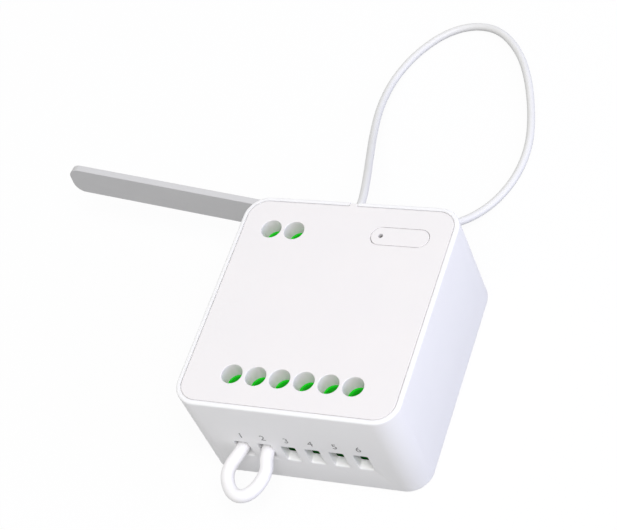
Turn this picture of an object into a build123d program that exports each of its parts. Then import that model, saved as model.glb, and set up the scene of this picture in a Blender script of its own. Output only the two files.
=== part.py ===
"""Smart relay module: a white in-wall box with two switched channels.

Millimetres. X runs along the six-pole terminal row, Y from the front wire entries to the back,
Z up. The origin is the centre of the box's flat base.
"""
from build123d import *
import math
import os

# Box: outer size, walls and corners
case_width = 46.8
case_depth = 50.3
case_height = 24.9
corner_radius = 5.0
wall = 1.8
floor = 1.5
base_edge_radius = 0.6
rim_width = 0.92
rim_edge_radius = 0.4
cover_thickness = 1.6
groove = 0.16
soft_edge = 0.1

# Terminal rows: pole spacing, where the screw axes stand, and the holes that serve them
pole_pitch = 5.08
front_poles = 6
back_poles = 2
front_row_x = 0.2
back_row_side_inset = 9.94
front_row_inset = 7.62
back_row_inset = 8.0
access_diameter = 4.3
funnel_wall = 0.9
entry_width = 3.1
entry_bottom = 7.5
entry_height = 4.9
entry_corner = 0.3
entry_lip = 0.4

# Terminal block: body and the cell that one clamp works in
block_front_length = 4.75
block_back_length = 4.0
block_end_margin = 0.05
funnel_depth = 3.85
seat_gap = 0.1
cell_width = 4.0
cell_length = 4.4
cell_bottom = 6.7
cell_top_share = 0.689
wire_hole_width = 3.0
wire_hole_bottom = 8.6
wire_hole_top = 12.0
recess_diameter = 3.7
recess_depth = 2.65
block_edge_radius = 0.2

# Clamp: screw, rising cage and the contact bar that the wire is clamped against
thread_diameter = 2.5
thread_clearance = 0.05
shank_clearance = 0.1
head_diameter = 3.3
head_height = 1.5
head_seat_gap = 0.05
head_slot_width = 0.6
head_slot_depth = 0.7
head_edge_radius = 0.15
slot_turn_degrees = 34
cage_clearance = 0.1
cage_side = 0.5
cage_floor = 0.8
cage_roof = 1.4
cage_inner_height = 3.9
open_gap = 2.9
bar_bottom = 10.85
bar_thickness = 0.8
bar_width = 2.1
bar_slot_clearance = 0.1
leg_thickness = 0.6
leg_hole_margin = 0.25
screw_tip_gap = 0.3

# Circuit boards
board_thickness = 1.6
board_top = 5.0
board_gap = 0.4
board_hole_clearance = 0.15
tail_length = 1.3
control_board_thickness = 1.0
control_board_depth = 6.7
control_board_pad_margin = 1.5
control_board_side_inset = 3.4
control_board_front_gap = 0.6
control_board_back_inset = 2.75
rail_width = 1.1
rail_end_margin = 4.0

# Function button, tact switch and status light
button_side_inset = 11.45
button_back_inset = 7.85
button_length = 12.2
button_width = 4.2
button_clearance = 0.12
button_flange_margin = 0.65
button_flange_height = 0.8
button_flange_gap = 0.1
button_travel = 0.35
stem_offset = 1.95
stem_diameter = 2.6
stem_gap = 0.05
switch_size = 4.5
switch_height = 2.8
plunger_diameter = 2.4
plunger_clearance = 0.05
plunger_height = 0.8
plunger_depth = 1.0
light_offset = 4.07
pinhole_diameter = 1.0
pinhole_depth = 0.7
guide_diameter = 1.2
guide_clearance = 0.3
guide_top_gap = 0.15
guide_foot_diameter = 3.0
guide_foot_height = 1.6
led_length = 2.0
led_width = 1.25
led_height = 0.8
led_clearance = 0.15

# Cover latches
latch_width = 4.0
latch_thickness = 1.0
latch_length = 5.0
latch_gap = 0.12
latch_hook = 0.4
latch_hook_height = 1.2
latch_window_gap = 0.2
latch_front_inset = 8.15
latch_back_inset = 14.15

# Radio module on the control board
radio_side_inset = 12.4
radio_front_inset = 8.8
radio_length = 16.0
radio_width = 11.0
radio_thickness = 0.8
shield_length = 13.6
shield_width = 8.6
shield_height = 2.2
shield_wall = 0.3
shield_edge_radius = 0.25

# Pin header and spacers between the two boards
header_side_inset = 12.8
header_back_inset = 4.95
header_pins_count = 6
header_pitch = 2.54
header_width = 2.3
header_strip = 2.5
header_pin = 0.64
spacer_left_inset = 4.8
spacer_right_inset = 2.2
spacer_front_inset = 1.8
spacer_diameter = 3.4
spacer_peg_diameter = 1.4
spacer_peg_height = 0.8

# Relays
relay_wall_gap = 0.6
relay_side_gap = 0.5
relay_front_gap = 1.13
relay_top_gap = 3.1
relay_width = 7.4
relay_length = 20.0
relay_wall = 0.6
relay_base_height = 1.2
relay_lip_height = 0.6
relay_lip_gap = 0.1
relay_edge_radius = 0.4
coil_y = -1.8
coil_z = 5.3
coil_length = 9.0
coil_diameter = 5.4
coil_flange_size = 5.8
coil_flange = 0.6
core_diameter = 2.3
core_clearance = 0.05
yoke_width = 5.2
yoke_thickness = 1.0
yoke_gap = 0.15
yoke_air_share = 0.266
pole_gap = 0.5
armature_width = 4.8
armature_thickness = 0.8
armature_hinge_gap = 0.15
armature_top_gap = 0.1
arm_width = 3.0
arm_thickness = 0.3
arm_top_gap = 0.5
contact_diameter = 2.0
contact_height = 0.4
contact_gap = 0.25
fixed_contact_thickness = 0.5
relay_pin_diameter = 0.8
coil_pin_inset = 1.3
arm_pin_inset = 1.6

# Transformer
trafo_side_inset = 14.9
trafo_front_gap = 0.33
trafo_z = 10.8
core_length = 12.0
core_width = 13.0
core_height = 6.0
core_leg = 1.6
core_back = 1.6
core_split = 0.05
bobbin_wall = 0.6
bobbin_gap = 0.1
bobbin_flange = 0.6
bobbin_rail_gap = 0.1
bobbin_foot_gap = 0.3
winding_height = 10.0
winding_width = 9.2
winding_corner = 1.2
trafo_pin_spread = 4.6

# Loose electrical components
input_can_side_inset = 17.1
can_back_inset = 14.55
input_can_diameter = 8.0
input_can_top_gap = 0.6
output_can_side_inset = 8.0
output_can_diameter = 6.3
output_can_top_gap = 1.6
can_edge_radius = 0.5
can_lead_pitch = 2.5
lead_diameter = 0.6
varistor_side_inset = 5.2
varistor_front_inset = 8.33
varistor_diameter = 7.0
varistor_thickness = 3.6
varistor_edge_radius = 1.2
varistor_lift = 0.8
varistor_lead_pitch = 4.0
resistor_side_inset = 5.0
resistor_front_inset = 14.93
resistor_diameter = 3.4
resistor_height = 8.5
resistor_lift = 0.6
resistor_edge_radius = 0.8
rectifier_side_inset = 13.0
rectifier_back_inset = 8.55
rectifier_length = 4.8
rectifier_width = 4.0
rectifier_height = 1.6

# Wires: the antenna in its notch and socket, and the link between poles 1 and 2
antenna_diameter = 1.7
antenna_clearance = 0.05
antenna_exit_x = -0.1
antenna_exit_depth = 2.7
antenna_lug_width = 1.75
antenna_lug_clearance = 0.05
antenna_end_x = 9.2
antenna_end_z = 8.0
socket_wall = 1.0
socket_length = 1.6
socket_end_wall = 0.5
antenna_lead_diameter = 0.8
antenna_pad_inset = 2.0
link_diameter = 2.7
link_core_diameter = 1.38
link_z = 10.1
core_clamp_gap = 0.05
core_reach = 1.6

# Mounting strap on the back wall
strap_top_inset = 4.2
strap_height = 7.7
strap_thickness = 1.45
strap_length = 70.4
strap_tip_radius = 2.8
strap_angle_degrees = 7.7
strap_bend_inset = 5.2
strap_root_x = -3.6
strap_edge_radius = 0.15
strap_wall_gap = 0.05
peg_diameter = 2.0
peg_hole_clearance = 0.1
peg_head_diameter = 3.4
peg_head_height = 0.7
peg_head_radius = 0.3
peg_bend_inset = 3.6
peg_root_inset = 3.2

# One overrun that every through cut uses
overrun = 1.0

# Walls, terminal rows and blocks
half_width = case_width / 2
half_depth = case_depth / 2
seat_z = case_height - cover_thickness
front_axis_y = -half_depth + front_row_inset
back_axis_y = half_depth - back_row_inset
back_row_x = -half_width + back_row_side_inset
block_top = case_height - funnel_depth
recess_bottom = block_top - recess_depth
bar_top = bar_bottom + bar_thickness
cell_top = bar_top + cell_top_share * (recess_bottom - bar_top)
block_back_y = front_axis_y + block_back_length
antenna_exit_z = case_height - antenna_exit_depth

# Boards and what stands on them
board_bottom = board_top - board_thickness
tail_end = board_bottom - tail_length
trafo_x = half_width - trafo_side_inset
trafo_y = block_back_y + trafo_front_gap + core_width / 2
control_board_top = seat_z - control_board_depth
control_board_bottom = control_board_top - control_board_thickness
control_tail_end = control_board_top + spacer_peg_height
control_board_x = (antenna_exit_x - control_board_pad_margin, half_width - control_board_side_inset)
control_board_y = (trafo_y + core_width / 2 + control_board_front_gap, half_depth - control_board_back_inset)
radio_x = half_width - radio_side_inset
radio_y = control_board_y[0] + radio_front_inset
header_x = half_width - header_side_inset
header_y = half_depth - header_back_inset
spacer_x = (control_board_x[0] + spacer_left_inset, control_board_x[1] - spacer_right_inset)
spacer_y = control_board_y[0] + spacer_front_inset
can_y = half_depth - can_back_inset
input_can_x = half_width - input_can_side_inset
input_can_height = control_board_bottom - board_top - input_can_top_gap
output_can_x = half_width - output_can_side_inset
output_can_height = control_board_bottom - board_top - output_can_top_gap
varistor_x = half_width - varistor_side_inset
varistor_y = front_axis_y + varistor_front_inset
resistor_x = half_width - resistor_side_inset
resistor_y = front_axis_y + resistor_front_inset
rectifier_x = half_width - rectifier_side_inset
rectifier_y = half_depth - rectifier_back_inset

# Relays: each is built about its own centre and stands on the board
relay_height = seat_z - board_top - relay_top_gap
first_relay_x = -half_width + wall + relay_wall_gap + relay_width / 2
relay_x = (first_relay_x, first_relay_x + relay_width + relay_side_gap)
relay_y = block_back_y + relay_front_gap + relay_length / 2
coil_pin_y = -relay_length / 2 + coil_pin_inset
arm_pin_y = relay_length / 2 - arm_pin_inset
relay_roof = relay_height - relay_wall
coil_top = coil_z + coil_flange_size / 2
yoke_top = coil_top + yoke_air_share * (relay_roof - coil_top) + yoke_thickness
arm_top = relay_roof - arm_top_gap

# Button, light, latches and strap
button_x = half_width - button_side_inset
button_y = half_depth - button_back_inset
stem_x = button_x + stem_offset
light_x = button_x - light_offset
latch_y = (-half_depth + latch_front_inset, half_depth - latch_back_inset)
strap_bottom = case_height - strap_top_inset - strap_height
strap_bend_x = -half_width + strap_bend_inset
peg_x = (strap_bend_x + peg_bend_inset, strap_root_x - peg_root_inset)


def bar(x, y, z):
    """A box between two values along each axis."""
    size = Box(x[1] - x[0], y[1] - y[0], z[1] - z[0])
    return Pos((x[0] + x[1]) / 2, (y[0] + y[1]) / 2, (z[0] + z[1]) / 2) * size


def rod(x, y, z, diameter):
    """An upright cylinder between two heights."""
    return Pos(x, y, (z[0] + z[1]) / 2) * Cylinder(diameter / 2, z[1] - z[0])


def rod_y(x, y, z, diameter):
    """A cylinder along Y between two values."""
    return Pos(x, (y[0] + y[1]) / 2, z) * Rot(90, 0, 0) * Cylinder(diameter / 2, y[1] - y[0])


def plate(width, depth, radius, z):
    """A rounded rectangle about the origin, between two heights."""
    return Pos(0, 0, z[0]) * extrude(RectangleRounded(width, depth, radius), z[1] - z[0])


def pill(x, y, length, width, z):
    """A slot shape along X, between two heights."""
    return Pos(x, y, z[0]) * extrude(SlotOverall(length, width), z[1] - z[0])


def top_edges(solid):
    """The edges of the highest face."""
    return solid.faces().sort_by(Axis.Z)[-1].edges()


def row(centre, count):
    """The X places of a terminal row's poles."""
    return [centre + (i - (count - 1) / 2) * pole_pitch for i in range(count)]


front_x = row(front_row_x, front_poles)
back_x = row(back_row_x, back_poles)

# Each pole: X and Y of its screw axis, and which way its wire comes in (-1 front, +1 back)
poles = [(x, front_axis_y, -1) for x in front_x] + [(x, back_axis_y, 1) for x in back_x]
linked_poles = (0, 1)


def entry_cut(x, side):
    """One square wire entry through the front or back wall, with a bevelled lower lip."""
    outer_y = side * (half_depth + overrun)
    inner_y = side * (half_depth - front_row_inset)
    profile = RectangleRounded(entry_width, entry_height, entry_corner)
    tunnel = extrude(Plane.XZ * profile, abs(outer_y - inner_y) / 2, both=True)
    tunnel = Pos(x, (outer_y + inner_y) / 2, entry_bottom + entry_height / 2) * tunnel
    lip_side = entry_lip * math.sqrt(2)
    lip = Pos(x, side * half_depth, entry_bottom) * Rot(45, 0, 0)
    return tunnel + lip * Box(entry_width - 2 * entry_corner, lip_side, lip_side)


def latch_window(x_side, y):
    """The pocket in the side wall that a cover latch hooks into."""
    top = seat_z - latch_length + latch_hook_height + latch_window_gap
    x = sorted((x_side * (half_width - wall - overrun), x_side * (half_width - wall + latch_hook)))
    half = latch_width / 2 + latch_window_gap
    return bar(x, (y - half, y + half), (top - latch_hook_height - 2 * latch_window_gap, top))


def make_housing():
    """The moulded tub: walls, rim, wire entries, board rails, antenna notch and strap pegs."""
    tub = plate(case_width, case_depth, corner_radius, (0, case_height))
    tub = fillet(top_edges(tub), rim_edge_radius)
    tub = fillet(tub.faces().sort_by(Axis.Z)[0].edges(), base_edge_radius)
    for inset, bottom in ((wall, floor), (rim_width, seat_z)):
        hollow = (bottom, case_height + overrun)
        tub -= plate(case_width - 2 * inset, case_depth - 2 * inset, corner_radius - inset, hollow)
    for x in front_x:
        tub -= entry_cut(x, -1)
    for x in back_x:
        tub -= entry_cut(x, 1)
    rail_y = half_depth - wall - rail_end_margin
    for side in (-1, 1):
        x = sorted((side * (half_width - wall), side * (half_width - wall - rail_width)))
        tub += bar(x, (-rail_y, rail_y), (floor, board_bottom))
        for y in latch_y:
            tub -= latch_window(side, y)
    # Notch for the antenna: round-bottomed for the wire, wider above for the cover's lug
    notch_y = (half_depth - wall - overrun, half_depth + overrun)
    slot = antenna_diameter + 2 * antenna_clearance
    slot_x = (antenna_exit_x - slot / 2, antenna_exit_x + slot / 2)
    lug = antenna_lug_width / 2 + antenna_lug_clearance
    lug_bottom = antenna_exit_z + slot / 2
    tub -= rod_y(antenna_exit_x, notch_y, antenna_exit_z, slot)
    tub -= bar(slot_x, notch_y, (antenna_exit_z, lug_bottom + overrun))
    lug_x = (antenna_exit_x - lug, antenna_exit_x + lug)
    tub -= bar(lug_x, notch_y, (lug_bottom, case_height + overrun))
    # Blind socket that holds the antenna's far end
    inner = half_depth - wall
    boss_y = (inner - socket_length, inner)
    tub += rod_y(antenna_end_x, boss_y, antenna_end_z, slot + 2 * socket_wall)
    bore_y = (inner - socket_length + socket_end_wall, half_depth + overrun)
    tub -= rod_y(antenna_end_x, bore_y, antenna_end_z, slot)
    # Pegs with staked heads that hold the strap's root
    strap_z = strap_bottom + strap_height / 2
    head_y = half_depth + 2 * strap_wall_gap + strap_thickness
    for x in peg_x:
        tub += rod_y(x, (half_depth - wall / 2, head_y), strap_z, peg_diameter)
        head = rod_y(x, (head_y, head_y + peg_head_height), strap_z, peg_head_diameter)
        tub += fillet(head.edges().sort_by(Axis.Y)[-1], peg_head_radius)
    return tub


def funnel_strip(xs, y):
    """The rounded strip under the cover that the screwdriver funnels run through."""
    width = access_diameter + 2 * funnel_wall
    length = xs[-1] - xs[0] + width
    return pill((xs[0] + xs[-1]) / 2, y, length, width, (block_top + seat_gap, seat_z))


def cover_latch(x_side, y):
    """A springy leg with a hook that snaps into the housing's side wall."""
    outer = half_width - wall - latch_gap
    x = sorted((x_side * outer, x_side * (outer - latch_thickness)))
    y_span = (y - latch_width / 2, y + latch_width / 2)
    bottom = seat_z - latch_length
    leg = bar(x, y_span, (bottom, seat_z))
    hook_x = sorted((x_side * outer, x_side * (outer + latch_hook)))
    return leg + bar(hook_x, y_span, (bottom, bottom + latch_hook_height))


def make_cover():
    """The inset lid with its funnels, button opening, latches and the lug over the antenna."""
    inset = 2 * (rim_width + groove)
    radius = corner_radius - rim_width - groove
    lid = plate(case_width - inset, case_depth - inset, radius, (seat_z, case_height))
    drill = (block_top - overrun, case_height + overrun)
    for x, y, side in poles:
        lid -= rod(x, y, drill, access_diameter)
    opening_length = button_length + 2 * button_clearance
    opening_width = button_width + 2 * button_clearance
    lid -= pill(button_x, button_y, opening_length, opening_width, drill)
    lid = fillet(top_edges(lid), soft_edge)
    lid += funnel_strip(front_x, front_axis_y)
    lid += funnel_strip(back_x, back_axis_y)
    for side in (-1, 1):
        for y in latch_y:
            lid += cover_latch(side, y)
    for x, y, side in poles:
        lid -= rod(x, y, (block_top, seat_z), access_diameter)
    lug_x = (antenna_exit_x - antenna_lug_width / 2, antenna_exit_x + antenna_lug_width / 2)
    lug_y = (half_depth - wall - rim_width, half_depth - rim_edge_radius)
    lug_bottom = antenna_exit_z + antenna_diameter / 2 + 2 * antenna_clearance
    return lid + bar(lug_x, lug_y, (lug_bottom, case_height))


def block_body(xs):
    """A terminal block with its wire side towards -Y and its screw axes on Y = 0."""
    half = pole_pitch / 2 - block_end_margin
    ends = (xs[0] - half, xs[-1] + half)
    body = bar(ends, (-block_front_length, block_back_length), (board_top, block_top))
    body = fillet(body.edges().filter_by(Axis.Z) + top_edges(body), block_edge_radius)
    for x in xs:
        cell_x = (x - cell_width / 2, x + cell_width / 2)
        body -= bar(cell_x, (-cell_length / 2, cell_length / 2), (cell_bottom, cell_top))
        hole_x = (x - wire_hole_width / 2, x + wire_hole_width / 2)
        body -= bar(hole_x, (-block_front_length - overrun, 0), (wire_hole_bottom, wire_hole_top))
        body -= rod(x, 0, (recess_bottom, block_top + overrun), recess_diameter)
        body -= rod(x, 0, (cell_top - overrun, block_top), thread_diameter + 2 * shank_clearance)
        slot_x = bar_width / 2 + bar_slot_clearance
        slot_y = (0, cell_length / 2 + leg_thickness + 2 * bar_slot_clearance)
        slot_z = (board_top - overrun, bar_top + bar_slot_clearance)
        slot = bar((x - slot_x, x + slot_x), slot_y, slot_z)
        body -= slot - bar(cell_x, (-cell_length / 2, cell_length / 2), (0, cell_bottom))
    return body


def contact_bar():
    """A contact bar with its leg and solder tail, for a pole at the origin with its wire side at -Y."""
    leg_y = (cell_length / 2 + bar_slot_clearance, cell_length / 2 + bar_slot_clearance + leg_thickness)
    half = bar_width / 2
    tongue_y = (-cell_length / 2 + 2 * cage_clearance, leg_y[1])
    tongue = bar((-half, half), tongue_y, (bar_bottom, bar_top))
    leg = bar((-half, half), leg_y, (board_top + seat_gap, bar_bottom))
    tail_x = half - 2 * leg_hole_margin
    return tongue + leg + bar((-tail_x, tail_x), leg_y, (tail_end, board_top + seat_gap))


def turned(piece, side):
    """The piece turned about Z, so that a front part serves the back row."""
    return piece if side < 0 else Rot(0, 0, 180) * piece


def make_screw(index):
    """A slotted terminal screw with its head resting in the block."""
    x, y, side = poles[index]
    head_z = recess_bottom + head_seat_gap
    tip = bar_top + screw_tip_gap
    head = fillet(top_edges(rod(0, 0, (head_z, head_z + head_height), head_diameter)), head_edge_radius)
    slot_z = (head_z + head_height - head_slot_depth, head_z + head_height + overrun)
    slot = bar((-head_diameter, head_diameter), (-head_slot_width / 2, head_slot_width / 2), slot_z)
    screw = head + rod(0, 0, (tip, head_z), thread_diameter) - slot
    return Pos(x, y, 0) * Rot(0, 0, slot_turn_degrees * index) * screw


def cage_rest_gap(index):
    """The clear height between the contact bar and the cage's floor at rest."""
    return link_core_diameter + 2 * core_clamp_gap if index in linked_poles else open_gap


def make_cage(index):
    """The rising steel cage that lifts the wire against the contact bar."""
    x, y, side = poles[index]
    inner_bottom = bar_bottom - cage_rest_gap(index)
    inner_top = inner_bottom + cage_inner_height
    half_x = cell_width / 2 - cage_clearance
    half_y = cell_length / 2 - 2 * cage_clearance
    cage = bar((-half_x, half_x), (-half_y, half_y), (inner_bottom - cage_floor, inner_top + cage_roof))
    inner_x = half_x - cage_side
    cage -= bar((-inner_x, inner_x), (-cell_length, cell_length), (inner_bottom, inner_top))
    thread_z = (inner_top - overrun, inner_top + cage_roof + overrun)
    cage -= rod(0, 0, thread_z, thread_diameter + 2 * thread_clearance)
    return Pos(x, y, 0) * cage


def make_main_board():
    """The main circuit board, drilled for every tail that passes through it."""
    inset = 2 * (wall + board_gap)
    radius = corner_radius - wall - board_gap
    board = plate(case_width - inset, case_depth - inset, radius, (board_bottom, board_top))
    span = (board_bottom - overrun, board_top + overrun)
    leg_centre = cell_length / 2 + bar_slot_clearance + leg_thickness / 2
    for x, y, side in poles:
        board -= rod(x, y - side * leg_centre, span, bar_width)
    for x, y, diameter in lead_places() + relay_pin_places() + header_places():
        board -= rod(x, y, span, diameter + 2 * board_hole_clearance)
    return board


def lead_places():
    """X, Y and diameter of the wire leads of the loose components."""
    half_can = can_lead_pitch / 2
    half_disc = varistor_lead_pitch / 2
    places = [(input_can_x + side * half_can, can_y) for side in (-1, 1)]
    places += [(output_can_x + side * half_can, can_y) for side in (-1, 1)]
    places += [(varistor_x, varistor_y + side * half_disc) for side in (-1, 1)]
    places += [(resistor_x, resistor_y + side * resistor_diameter / 4) for side in (-1, 1)]
    pin_x = core_length / 2 - core_back / 2
    for side in (-1, 1):
        places += [(trafo_x + side * pin_x, trafo_y + end * trafo_pin_spread) for end in (-1, 1)]
    return [(x, y, lead_diameter) for x, y in places]


def relay_pin_places():
    """X, Y and diameter of both relays' pins."""
    coil_spread = relay_width / 2 - relay_wall - relay_pin_diameter
    places = []
    for x in relay_x:
        places += [(x + side * coil_spread, relay_y + coil_pin_y) for side in (-1, 1)]
        places += [(x + coil_spread, relay_y + arm_pin_y), (x, relay_y + fixed_contact_y())]
    return [(x, y, relay_pin_diameter) for x, y in places]


def header_places():
    """X, Y and diagonal of the pin header's square pins."""
    xs = [header_x + (i - (header_pins_count - 1) / 2) * header_pitch for i in range(header_pins_count)]
    return [(x, header_y, header_pin * math.sqrt(2)) for x in xs]


def make_control_board():
    """The upper board that carries the radio, the switch and the status light."""
    board = bar(control_board_x, control_board_y, (control_board_bottom, control_board_top))
    board = fillet(board.edges().filter_by(Axis.Z), control_board_thickness)
    span = (control_board_bottom - overrun, control_board_top + overrun)
    for x, y, diameter in header_places():
        board -= rod(x, y, span, diameter + 2 * board_hole_clearance)
    for x in spacer_x:
        board -= rod(x, spacer_y, span, spacer_peg_diameter + 2 * board_hole_clearance)
    return board


def make_spacers():
    """Two nylon posts that carry the control board, each with a peg through it."""
    posts = []
    for x in spacer_x:
        post = rod(x, spacer_y, (board_top, control_board_bottom), spacer_diameter)
        posts.append(post + rod(x, spacer_y, (control_board_bottom, control_tail_end), spacer_peg_diameter))
    return posts


def make_header():
    """The header's two plastic strips, one on each board."""
    length = header_pins_count * header_pitch
    x = (header_x - length / 2, header_x + length / 2)
    y = (header_y - header_width / 2, header_y + header_width / 2)
    half = header_pin / 2
    strips = []
    for bottom in (board_top, control_board_bottom - header_strip):
        strip = bar(x, y, (bottom, bottom + header_strip))
        through = (bottom - overrun, bottom + header_strip + overrun)
        for pin_x, pin_y, diagonal in header_places():
            strip -= bar((pin_x - half, pin_x + half), (pin_y - half, pin_y + half), through)
        strips.append(strip)
    return strips


def make_header_pins():
    """The square pins that join the boards."""
    half = header_pin / 2
    return [bar((x - half, x + half), (y - half, y + half), (tail_end, control_tail_end))
            for x, y, diagonal in header_places()]


def make_radio_board():
    """The radio module's own small board."""
    board = Box(radio_length, radio_width, radio_thickness)
    return Pos(radio_x, radio_y, control_board_top + radio_thickness / 2) * board


def make_shield():
    """The drawn steel can over the radio's chips."""
    bottom = control_board_top + radio_thickness
    half_length = shield_length / 2
    half_width_y = shield_width / 2
    can = bar((-half_length, half_length), (-half_width_y, half_width_y), (bottom, bottom + shield_height))
    can = fillet(can.edges().filter_by(Axis.Z) + top_edges(can), shield_edge_radius)
    inner_x = half_length - shield_wall
    inner_y = half_width_y - shield_wall
    can -= bar((-inner_x, inner_x), (-inner_y, inner_y), (bottom, bottom + shield_height - shield_wall))
    return Pos(radio_x, radio_y, 0) * can


def make_button():
    """The pill-shaped key with its flange under the cover, its stem and the pinhole for the light."""
    flange_top = seat_z - button_flange_gap
    flange_bottom = flange_top - button_flange_height
    key = pill(button_x, button_y, button_length, button_width, (flange_bottom, case_height))
    key = fillet(top_edges(key), soft_edge)
    flange_length = button_length + 2 * button_flange_margin
    flange_width = button_width + 2 * button_flange_margin
    key += pill(button_x, button_y, flange_length, flange_width, (flange_bottom, flange_top))
    stem_bottom = control_board_top + switch_height + plunger_height + stem_gap
    key += rod(stem_x, button_y, (stem_bottom, flange_bottom), stem_diameter)
    key -= rod(light_x, button_y, (flange_bottom, case_height + overrun), pinhole_diameter)
    bore = (flange_bottom - overrun, case_height - pinhole_depth)
    return key - rod(light_x, button_y, bore, guide_diameter + 2 * guide_clearance)


def make_light_guide():
    """The clear post that carries the status light up to the button's pinhole."""
    foot_top = control_board_top + guide_foot_height
    top = case_height - pinhole_depth - button_travel - guide_top_gap
    guide = rod(light_x, button_y, (control_board_top, foot_top), guide_foot_diameter)
    guide += rod(light_x, button_y, (foot_top, top), guide_diameter)
    pocket_x = led_length / 2 + led_clearance
    pocket_y = led_width / 2 + led_clearance
    pocket_z = (control_board_top, control_board_top + led_height + led_clearance)
    across = (light_x - pocket_x, light_x + pocket_x)
    return guide - bar(across, (button_y - pocket_y, button_y + pocket_y), pocket_z)


def make_led():
    """The status light, a small surface-mounted chip."""
    return Pos(light_x, button_y, control_board_top + led_height / 2) * Box(led_length, led_width, led_height)


def make_switch():
    """The tact switch's body, bored for its plunger."""
    top = control_board_top + switch_height
    half = switch_size / 2
    body = bar((stem_x - half, stem_x + half), (button_y - half, button_y + half), (control_board_top, top))
    bore = (top - plunger_depth - button_travel - 2 * guide_top_gap, top + overrun)
    return body - rod(stem_x, button_y, bore, plunger_diameter + 2 * plunger_clearance)


def make_plunger():
    """The tact switch's plunger."""
    top = control_board_top + switch_height
    return rod(stem_x, button_y, (top - plunger_depth, top + plunger_height), plunger_diameter)


def fixed_contact_y():
    """Y of the middle of a relay's fixed contact, from the relay's own centre."""
    arm_front = armature_back_y() + armature_thickness + arm_thickness
    return arm_front + contact_height + contact_gap + contact_height + fixed_contact_thickness / 2


def pole_y():
    """Y of a relay core's pole face, from the relay's own centre."""
    return coil_y + coil_length / 2 + coil_flange + yoke_gap


def armature_back_y():
    """Y of the armature's face towards the coil, from the relay's own centre."""
    return pole_y() + pole_gap


def relay_base():
    """The relay's base plate with the lip that its case locks onto."""
    half_x = relay_width / 2
    half_y = relay_length / 2
    base = bar((-half_x, half_x), (-half_y, half_y), (0, relay_base_height))
    inset = relay_wall + relay_lip_gap
    lip_z = (relay_base_height, relay_base_height + relay_lip_height)
    base += bar((inset - half_x, half_x - inset), (inset - half_y, half_y - inset), lip_z)
    for x, y, diameter in relay_pin_places()[:4]:
        base -= rod(x - relay_x[0], y - relay_y, (-overrun, relay_height), diameter)
    return base


def relay_case():
    """The relay's cover, a thin moulded box open at the bottom."""
    half_x = relay_width / 2
    half_y = relay_length / 2
    case = bar((-half_x, half_x), (-half_y, half_y), (relay_base_height, relay_height))
    case = fillet(case.edges().filter_by(Axis.Z) + top_edges(case), relay_edge_radius)
    inner_x = half_x - relay_wall
    inner_y = half_y - relay_wall
    return case - bar((-inner_x, inner_x), (-inner_y, inner_y), (0, relay_height - relay_wall))


def relay_coil():
    """The coil on its bobbin, wound about Y, with its foot on the base."""
    y = (coil_y - coil_length / 2, coil_y + coil_length / 2)
    half = coil_flange_size / 2
    coil = rod_y(0, y, coil_z, coil_diameter)
    for end in ((y[0] - coil_flange, y[0]), (y[1], y[1] + coil_flange)):
        foot = relay_base_height + relay_lip_height
        coil += bar((-half, half), end, (foot, coil_z + half))
    through = (y[0] - overrun, y[1] + overrun)
    return coil - rod_y(0, through, coil_z, core_diameter + 2 * core_clearance)


def relay_yoke():
    """The soft-iron core and its L-shaped yoke."""
    back = coil_y - coil_length / 2 - coil_flange - yoke_gap
    half = yoke_width / 2
    lower = relay_base_height + relay_lip_height + yoke_gap
    yoke = bar((-half, half), (back - yoke_thickness, back), (lower, yoke_top))
    leg_y = (back - yoke_thickness, armature_back_y() - armature_hinge_gap)
    yoke += bar((-half, half), leg_y, (yoke_top - yoke_thickness, yoke_top))
    return yoke + rod_y(0, (back - yoke_thickness, pole_y()), coil_z, core_diameter)


def relay_armature():
    """The hinged armature with its contact arm and rivet."""
    back = armature_back_y()
    half = armature_width / 2
    bottom = coil_z - core_diameter / 2 - armature_thickness
    plate_z = (bottom, yoke_top - armature_top_gap)
    armature = bar((-half, half), (back, back + armature_thickness), plate_z)
    arm_y = (back + armature_thickness, back + armature_thickness + arm_thickness)
    armature += bar((-arm_width / 2, arm_width / 2), arm_y, (coil_z, arm_top))
    rivet_y = (arm_y[1], arm_y[1] + contact_height)
    return armature + rod_y(0, rivet_y, arm_top - contact_diameter / 2, contact_diameter)


def relay_contacts():
    """The fixed contact, the arm's pin and the two coil pins."""
    middle = fixed_contact_y()
    half = fixed_contact_thickness / 2
    top = arm_top
    strip_z = (relay_base_height + relay_lip_height, top)
    strip = bar((-arm_width / 2, arm_width / 2), (middle - half, middle + half), strip_z)
    rivet = (middle - half - contact_height, middle - half)
    strip += rod_y(0, rivet, top - contact_diameter / 2, contact_diameter)
    tail = (tail_end - board_top, strip_z[0])
    pieces = [strip + rod(0, middle, tail, relay_pin_diameter)]
    for x, y, diameter in relay_pin_places()[:3]:
        pin = (tail[0], strip_z[0] + relay_lip_height)
        pieces.append(rod(x - relay_x[0], y - relay_y, pin, diameter))
    return pieces


def make_core_half(side):
    """One half of the transformer's ferrite core, an E on its side."""
    outer = core_length / 2
    inner = core_split / 2
    half_z = core_height / 2
    half_y = core_width / 2
    x = sorted((side * outer, side * inner))
    block = bar(x, (-half_y, half_y), (-half_z, half_z))
    for end in (-1, 1):
        window_y = sorted((end * core_leg, end * (half_y - core_leg)))
        window_x = sorted((0, side * (outer - core_back)))
        block -= bar(window_x, window_y, (-core_height, core_height))
    return Pos(trafo_x, trafo_y, trafo_z) * block


def bobbin_tube(margin):
    """The space that the bobbin's tube takes round the core's middle leg, grown by a margin."""
    y = core_leg + bobbin_gap + margin
    z = core_height / 2 + bobbin_gap + margin
    return Box(core_length, 2 * y, 2 * z)


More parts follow.
